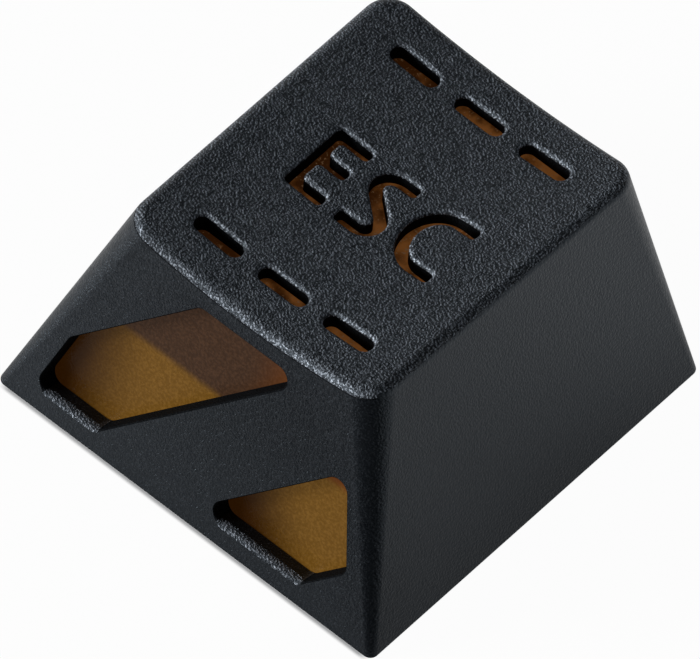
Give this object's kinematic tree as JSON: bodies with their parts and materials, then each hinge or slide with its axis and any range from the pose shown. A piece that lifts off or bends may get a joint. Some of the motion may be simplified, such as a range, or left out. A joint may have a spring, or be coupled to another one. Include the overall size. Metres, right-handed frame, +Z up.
{
  "type": "artisan keycap",
  "caption": "One-unit keyboard keycap: dished black metal shell with slanted front windows and top slots, over a translucent amber insert with a stem socket.",
  "frame": {"origin": "middle of the base, on the surface that the cap stands on", "axes": "+Z up through the stem, +X to the right, -Y towards the front face with the windows"},
  "size_m": [0.018, 0.018, 0.0102],
  "materials": {
    "black_shell": "black anodised, blasted satin, coarser grain on the top",
    "amber_resin": "translucent amber resin, satin"
  },
  "bodies": {
    "root": {"outer_shell": "black_shell", "amber_insert": "amber_resin"}
  },
  "joints": []
}
